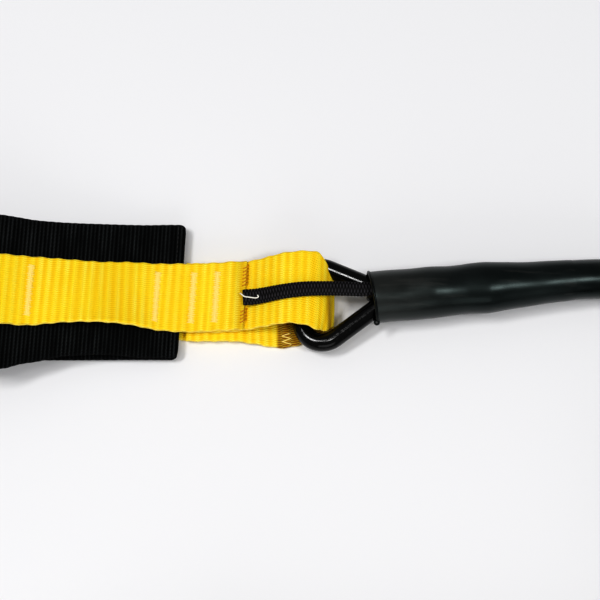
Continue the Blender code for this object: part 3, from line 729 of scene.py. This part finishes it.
def tab_painted_shade(points, inside):
    """Painted shade: the face inside the loop darkened from x = -8.9 mm on, by the ring's bar, and a narrow
    dark band down the fold on the other face.
    """
    x, y, z = points[..., 0], points[..., 1], points[..., 2]
    # Painted shade down the near half of the fold's outer face
    band = 0.9 * bell(x, 10.6, 0.9) * ease(-y, -1.0, 3.5) * (z > 4) * (1 - inside)
    # Painted shade on the inner face, inside the loop round the ring's bar
    return band + ease(x, -8.9, -7.6) * inside


def make_hand_loop():
    """The strap, the grip and the tab, each one piece of webbing along its own folds."""
    main = webbing("main_strap_webbing", MAIN, STRAP_THICK, STRAP_RIB, STRAP_RIB_HEIGHT, YELLOW,
                   wear_and_shade=strap_end_tone, slot="yellow_webbing")
    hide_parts("main_strap")
    grip = webbing("grip_webbing_ribbed", GRIP, GRIP_THICK, GRIP_RIB, GRIP_RIB_HEIGHT, BLACK, across=18,
                   hem=GRIP_HEM, scallop=0.08, slot="black_webbing")
    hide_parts("grip_webbing")
    tab = webbing("ring_tab_webbing", TAB, STRAP_THICK, STRAP_RIB, STRAP_RIB_HEIGHT, YELLOW,
                  wear_and_shade=tab_painted_shade, body=None, slot="yellow_webbing")
    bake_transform(tab)
    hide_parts("ring_tab")


# ---------------------------------------------------------------- stitching

TACK_RADIUS = 0.23
SEAM_RADIUS = 0.2
HEM_THREAD_RADIUS = 0.16
TAIL_RADIUS = 0.24


def zigzag(strap, x, middle, width, length, pitch, rise, fuzz=0.0, last=False):
    """A bartack's thread on a strap: to and fro along the strap while it works its way across.

    Fuzz makes the legs uneven, and last takes the last place where the strap passes x.
    """
    count = int(length / pitch)
    parts = 4
    points = []
    for i in range(count * parts + 1):
        leg, part = divmod(i, parts)
        swing = (part / parts - 0.5) * (1 if leg % 2 == 0 else -1)
        at = strap.where(x, last) + swing * (width + fuzz * math.sin(7.3 * leg))
        sideways = middle - length / 2 + i * length / (count * parts)
        hump = 0.16 * math.sin(math.pi * part / parts) - 0.05
        points.append(strap.spot(at, sideways, rise + hump))
    return points


def make_bartack(node, x, middle=0.0):
    """A close bar of thread across the main strap at x."""
    points = zigzag(MAIN, x, middle, 2.4, 19.0, 0.40, STRAP_THICK / 2 + 0.06, fuzz=0.5)
    obj = tube_mesh(node + "_thread", points, TACK_RADIUS, TACK, sides=6, body=HANDLE, slot="tack_thread")
    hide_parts(node)


def make_end_stitching():
    """Slanted stitches over the strap's end, on both sides of the safety cord."""
    pitch = 1.3
    over = STRAP_THICK / 2 + 0.14
    pieces = []
    for low, high in ((-10.4, -4.6), (3.4, 12.2)):
        for i in range(int((high - low) / pitch)):
            y = low + i * pitch
            start = MAIN.spot(1.3, y, over)
            middle = MAIN.spot(0.2, y + 0.6, STRAP_THICK / 2 + 0.06)
            end = TAB.spot(TAB.where(-18.4), y + 1.4, -over)
            points = smooth([start, middle, end], 4)
            pieces.append(tube_mesh("stitch", points, SEAM_RADIUS, END_THREAD, sides=6, body=None))
    obj = join(pieces, "end_stitching_thread", HANDLE)
    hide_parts("end_stitching")


def make_tab_stitching():
    """A short bar of pale thread across the tab's lower layer, beside the ring's bar."""
    points = zigzag(TAB, -4.6, -9.6, 3.4, 4.2, 0.95, STRAP_THICK / 2 + 0.12, last=True)
    obj = tube_mesh("tab_stitching", points, SEAM_RADIUS, TACK, sides=6, body=None, slot="tack_thread")
    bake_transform(obj)


def make_hem_stitching():
    """A line of short stitches along the grip's upper hem."""
    pieces = []
    for i in range(27):
        y = -22.6 + i * 1.74
        ends = [GRIP.spot(2.6, y + step, GRIP_THICK * 0.88 + lift) for step, lift in
                ((0, 0.0), (0.3, 0.16), (0.9, 0.16), (1.2, 0.0))]
        pieces.append(tube_mesh("stitch", ends, HEM_THREAD_RADIUS, BLACK_THREAD, sides=6, body=None))
    join(pieces, "hem_stitching", HANDLE)


# ---------------------------------------------------------------- safety cord

CORD_STRANDS = 5                     # in each of the two directions
CORD_PITCH = 1.15
CORD_HALF_THICK = 0.62
STRAND_RISE = 0.26


def rounded(value, power):
    """A sine or cosine raised to a power with its sign kept, which squares off an ellipse."""
    return np.sign(value) * np.abs(value) ** power


def make_safety_cord():
    """A flattened round braid: two families of strands that pass over each other in turn."""
    path, at = even(smooth([
        (-20.7, -1.35, 9.95, 6.0), (-17, -1.1, 10.0, 6.0), (-13.5, -0.8, 10.9, 5.9), (-6.2, -0.2, 14.2, 5.6),
        (1, 0.4, 15.4, 5.5), (8, 0.6, 15.4, 5.4), (15, 0.5, 15.5, 5.4), (22, 0.2, 15.8, 5.3),
        (26.5, 0.5, 15.8, 5.0), (31, 1.6, 15.8, 4.6)], 10), 0.15)
    along = unit(np.gradient(path[:, :3], axis=0))
    side = unit(np.array([[0.0, 1.0, 0.0]]) - along * along[:, 1:2])
    out = np.cross(along, side)
    angle = np.linspace(0, 2 * math.pi, 56, endpoint=False)
    wound = CORD_STRANDS * angle / (2 * math.pi)
    first = at[:, None] / CORD_PITCH + wound
    second = at[:, None] / CORD_PITCH - wound
    over = (np.floor(first) + np.floor(second)) % 2 == 0
    strand, run = np.where(over, second % 1, first % 1), np.where(over, first % 1, second % 1)
    height = (1 - (2 * strand - 1) ** 2) * (0.45 + 0.55 * np.sin(math.pi * run))
    closing = (0.25 + 0.75 * np.sqrt(np.clip(at / 0.9, 0, 1)))[:, None]
    half_wide = (path[:, 3] / 2 - 0.2)[:, None] * (0.93 + 0.07 * closing)
    u = rounded(np.cos(angle), 0.85) * half_wide + STRAND_RISE * height * np.cos(angle)
    w = rounded(np.sin(angle), 0.75) * CORD_HALF_THICK * closing + STRAND_RISE * height * np.sin(angle)
    rows = path[:, None, :3] + side[:, None] * u[..., None] + out[:, None] * w[..., None]
    obj = grid_mesh("safety_cord_braid", rows, BRAID, weave_of(at[:, None], u, height), body=None,
                    slot="braided_cord")
    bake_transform(obj)
    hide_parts("safety_cord")


def make_thread_tail():
    """The loose end of the thread that holds the cord down."""
    points = smooth([(-21.6, 0.2, 10.2), (-21.0, -0.5, 11.2), (-20.0, -1.3, 11.35), (-18.0, -1.6, 11.3),
                     (-16.0, -1.9, 11.5), (-15.0, -1.5, 11.6), (-15.3, -0.8, 11.5)], 6)
    tube_mesh("thread_tail", points, TAIL_RADIUS, WHITE_THREAD, sides=8, body=HANDLE, slot="tack_thread")


make_hand_loop()
for tack, place in (("front", -30.8), ("middle", -39.5), ("rear", -52.5)):
    make_bartack("bartack_neck_" + tack, place, -0.3)
for tack, place in (("front", -97.4), ("middle", -142.0), ("rear", -187.0)):
    make_bartack("bartack_grip_" + tack, place)
make_end_stitching()
make_tab_stitching()
make_hem_stitching()
make_safety_cord()
make_thread_tail()


# ---------------------------------------------------------------- ring, sleeve and band

RING_SIDE = 39.5
RING_ROD = 3.3
RING_CORNER = 7.8
RING_APEX = 4.0


def arc(centre, radius, start, stop, count):
    """Points on an arc in a plane, from one angle in degrees to another."""
    angle = np.radians(np.linspace(start, stop, count))
    return np.stack([centre[0] + radius * np.cos(angle), centre[1] + radius * np.sin(angle)], 1)


def make_ring():
    """The delta ring, with the CAD ring's centre line in finer steps."""
    height = RING_SIDE * math.sqrt(3) / 2
    aside = RING_SIDE / 2 - RING_CORNER * math.sqrt(3)
    flat = np.vstack([arc((RING_CORNER, -aside), RING_CORNER, 180, 300, 28),
                      arc((height - 2 * RING_APEX, 0), RING_APEX, -60, 60, 20),
                      arc((RING_CORNER, aside), RING_CORNER, 60, 180, 28)])
    rise = Vector(ALONG * (height - RING_APEX) * MM + UP * (SLEEVE_Z - BAR.z)).normalized()
    points = [tuple((BAR + (rise * x + ACROSS * y) * MM) / MM) for x, y in flat]
    dense = even(np.array(points + points[:1]), 0.8)[0][:-1]
    ring = tube_mesh("delta_ring", dense, RING_ROD, COATED, sides=32, cyclic=True, body=TOW,
                     slot="coated_steel")
    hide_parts("ring")


MOUTH_LEAN = 0.08
BAND_REACH = 9.42
KNOT_RADIUS = 0.75


def mouth_skew(distance):
    """The mouth is cut a little askew, and the sleeve is square again 12 mm behind it."""
    return MOUTH_LEAN * float(1 - ease(distance, MOUTH, MOUTH + 12))


def make_sleeve():
    """Outer skin, mouth and inner wall of the front sleeve, lumpy over the ferrules."""
    outline = smooth([(MOUTH, 9.2), (27.2, 9.4), (31, 9.42), (40, 9.42), (47, 9.42), (50, 9.28), (54.5, 8.98),
                      (59, 8.92), (63, 9.1), (67, 9.22), (69.5, 9.08), (73, 8.74), (77, 8.42), (82, 8.1),
                      (88, 7.82), (93, 7.6), (97, 7.42), (SLEEVE_END, 7.28)], 6)
    inner = [(d, r - 0.5) for d, r in outline[::-1] if d > MOUTH + 1 and r > 7.75]
    mouth = [(MOUTH + 0.5, 8.65), (MOUTH, 8.7), (MOUTH - 0.25, 8.95)]

    def relief(distance, angle):
        near_end = float(ease(SLEEVE_END - distance, 1.0, 12.0))
        soft = 0.10 * np.sin(2 * angle + distance / 9.0) + 0.06 * np.sin(3 * angle - distance / 5.3)
        rings = 0.07 * math.sin(distance / 2.3) * np.sin(angle + 0.6)
        dents = -0.22 * bell(distance, 61, 5.0) * bell(angle, 1.75, 0.45)
        return (soft + rings + dents) * near_end

    sleeve = spun_mesh("front_sleeve_rubber", tow_point, inner + mouth + [tuple(p) for p in outline],
                       SLEEVE_RUBBER, sides=96, relief=relief, skew=mouth_skew,
                       wear_and_shade=lambda d: 0.42 * bell(d, MOUTH, 20.0), body=TOW, slot="sleeve_rubber")
    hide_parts("sleeve_front")


def make_mouth_band():
    """A thin black band tied round the sleeve's mouth, with its knot on the near side."""
    points = []
    for angle in np.linspace(0, 2 * math.pi, 120, endpoint=False):
        aside, lift = BAND_REACH * math.cos(angle), BAND_REACH * math.sin(angle)
        points.append(tuple(tow_point(MOUTH + 0.35 - MOUTH_LEAN * aside, aside, lift) / MM))
    band = tube_mesh("mouth_band_cord", points, 0.42, BAND_RUBBER, sides=10, cyclic=True, body=TOW,
                     slot="band_rubber")
    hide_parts("mouth_band_front")
    knot = []
    for angle in np.linspace(0, 2 * math.pi, 24, endpoint=False):
        along, aside = KNOT_RADIUS * (1 + math.cos(angle)), KNOT_RADIUS * math.sin(angle) - 9.75
        knot.append(tuple(tow_point(MOUTH + along, aside, 1.6) / MM))
    tube_mesh("mouth_band_knot", knot, 0.36, BAND_RUBBER, sides=10, cyclic=True, body=TOW,
              slot="band_rubber")


def make_rear_sleeve():
    """The rear sleeve, turned round the tube's end and its two ferrules."""
    def eye_point(distance):
        return REAR_EYE + Vector((distance * MM, 0.0, 0.0))

    end = 44.0
    outline = smooth([(6.2, 8.75), (7.0, 8.95), (11, 8.95), (16, 9.02), (19, 8.9), (23, 8.85), (27, 8.98),
                      (31, 9.0), (34.5, 8.85), (37.5, 8.35), (40.5, 7.9), (43.2, 7.65), (end, 7.4)], 5)
    inner = [(11.0, 8.5), (7.0, 8.5)]

    def relief(distance, angle):
        near_end = float(ease(end - distance, 1.0, 10.0))
        return (0.07 * np.sin(2 * angle + distance / 8.0) + 0.05 * math.sin(distance / 2.1)) * near_end

    sleeve = spun_mesh("rear_sleeve_rubber", eye_point, inner + [tuple(p) for p in outline], SLEEVE_RUBBER,
                       axes=(Vector((0, 1, 0)), Vector((1, 0, 0))), relief=relief,
                       wear_and_shade=lambda d: 0.5 * bell(d, 6.0, 8.0), body=TOW, slot="sleeve_rubber")
    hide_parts("sleeve_rear")
    return sleeve


make_ring()
make_sleeve()
make_mouth_band()
REAR_SLEEVE = make_rear_sleeve()


# ---------------------------------------------------------------- carabiner

CLIP_LENGTH = 56.0
CLIP_HALF = 12.0
CLIP_ROD = 2.6
CLIP_DROP = 6.3                      # from the eye's height down to the far end's
GATE_PIVOT = 17.0                    # from the eye, like the gate's nose
GATE_NOSE = 43.5
GATE_ROD = 2.1
CLIP_FORWARD = Vector((-CLIP_LENGTH, 0.0, -CLIP_DROP)).normalized()
CLIP_ACROSS = Vector((0.0, -1.0, 0.0))
CLIP_NORMAL = CLIP_FORWARD.cross(CLIP_ACROSS)


def clip_point(forward, across, rise=0.0):
    """A point in the carabiner's own plane, in millimetres from the eye."""
    eye = REAR_EYE / MM
    return tuple(eye + CLIP_FORWARD * forward + CLIP_ACROSS * across + CLIP_NORMAL * rise)


def rounded_block(size, forward, rise, bevel):
    """A small block with rounded edges, lined up with the carabiner."""
    bm = bmesh.new()
    bmesh.ops.create_cube(bm, size=1.0)
    bmesh.ops.scale(bm, vec=[side * MM for side in size], verts=bm.verts)
    bmesh.ops.bevel(bm, geom=bm.edges[:], offset=bevel * MM, segments=3, affect="EDGES")
    basis = Matrix((CLIP_FORWARD, CLIP_ACROSS, CLIP_NORMAL)).transposed().to_4x4()
    basis.translation = Vector(clip_point(forward, CLIP_HALF, rise)) * MM
    bm.transform(basis)
    mesh = bpy.data.meshes.new("block")
    bm.to_mesh(mesh)
    bm.free()
    mesh.shade_smooth()
    mesh.materials.append(ALLOY)
    return add_object("block", mesh)


def make_carabiner():
    """Bent rod with two lugs for the gate's pin, and the round gate with its flat tongue."""
    near = arc((CLIP_HALF, 0.0), CLIP_HALF, 90, 270, 40)
    far = arc((CLIP_LENGTH - CLIP_HALF, 0.0), CLIP_HALF, -90, 90, 40)
    flat = np.vstack([[(GATE_PIVOT - 3.2, CLIP_HALF)], near, far])
    path = even(np.array([clip_point(x, y) for x, y in flat]), 0.6)[0]
    radius = np.full(len(path), CLIP_ROD)
    radius[0] = radius[-1] = CLIP_ROD - 0.35
    body = tube_mesh("body", path, radius, ALLOY, sides=28, body=None)
    lugs = [rounded_block((6.6, 3.6, 0.9), GATE_PIVOT - 1.2, side * 2.0, 0.25) for side in (1, -1)]
    body = join([body, *lugs], "carabiner_rod", CLIP)
    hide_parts("carabiner_body")

    reach = [2.9, 2.95, 3.4, 8.0, 14.0, 20.0, 25.7, 26.2, GATE_NOSE - GATE_PIVOT]
    radius = [1.4, 1.9, *[GATE_ROD] * 5, 1.9, 1.5]
    bar = tube_mesh("bar", [clip_point(GATE_PIVOT + x, CLIP_HALF) for x in reach], radius, ALLOY, sides=28,
                    body=None)
    tongue = rounded_block((6.2, 3.4, 2.4), GATE_PIVOT + 1.4, 0.0, 0.4)
    gate = join([bar, tongue], "gate_bar", GATE)
    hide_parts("gate")
    return body, gate


CARABINER = make_carabiner()


# ---------------------------------------------------------------- coil ties

TIE_WIDTH = 8.0
TIE_THICK = 1.2
TIE_CORNER = 5.2


def make_coil_tie(node, degrees):
    """A strap round both turns, with its end lapped over on the outer side."""
    angle = math.radians(degrees)
    outward = np.array([math.cos(angle), math.sin(angle), 0.0])
    round_coil = np.array([-math.sin(angle), math.cos(angle), 0.0])
    lift = np.array([0, 0, 1.0])
    centre = COIL_CENTRE + outward * COIL_RADIUS + lift * (COIL_FLOOR + 2 * TUBE_RADIUS)
    half_x = TUBE_RADIUS + 0.3 + TIE_THICK / 2
    half_y = 2 * TUBE_RADIUS + 0.15 + TIE_THICK / 2
    outline = [(half_x, -6.0), (half_x, 0.0)]
    for sx, sy, start in ((1, 1, 0), (-1, 1, 90), (-1, -1, 180), (1, -1, 270)):
        middle = (sx * (half_x - TIE_CORNER), sy * (half_y - TIE_CORNER))
        outline += [tuple(spot) for spot in arc(middle, TIE_CORNER, start, start + 90, 7)]
    outline += [(half_x, -9.6), (half_x + 0.5, -8.0), (half_x + 1.25, -6.2), (half_x + 1.25, 5.5)]
    outline = even(np.array([(x, z, 0.0) for x, z in outline]), 1.3)[0]
    stations = [(*(centre + outward * x + lift * z), TIE_WIDTH, 0, 0) for x, z, _ in outline]
    strap = Strap(stations, 0.3, across=round_coil)
    tie = webbing(node + "_webbing", strap, TIE_THICK, 0.9, 0.06, TIE, across=14, scallop=0.04, body=TOW,
                  slot="tie_webbing")
    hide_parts(node)
    return tie


TIES = [make_coil_tie("coil_tie_side", 35), make_coil_tie("coil_tie_near", -55)]


# ---------------------------------------------------------------- CAD pieces that stay, with new materials

for node in ("anchor_plug_front", "ferrule_front_inner", "ferrule_front_outer", "anchor_plug_rear",
             "ferrule_rear_inner", "ferrule_rear_outer", "gate_pin", "gate_spring"):
    for place in frame["nodes"][node].material_slots:
        # The front plug takes the darker copy as painted shade; the rest keep the plain steel
        place.material = SHADED_STEEL if node == "anchor_plug_front" else STEEL
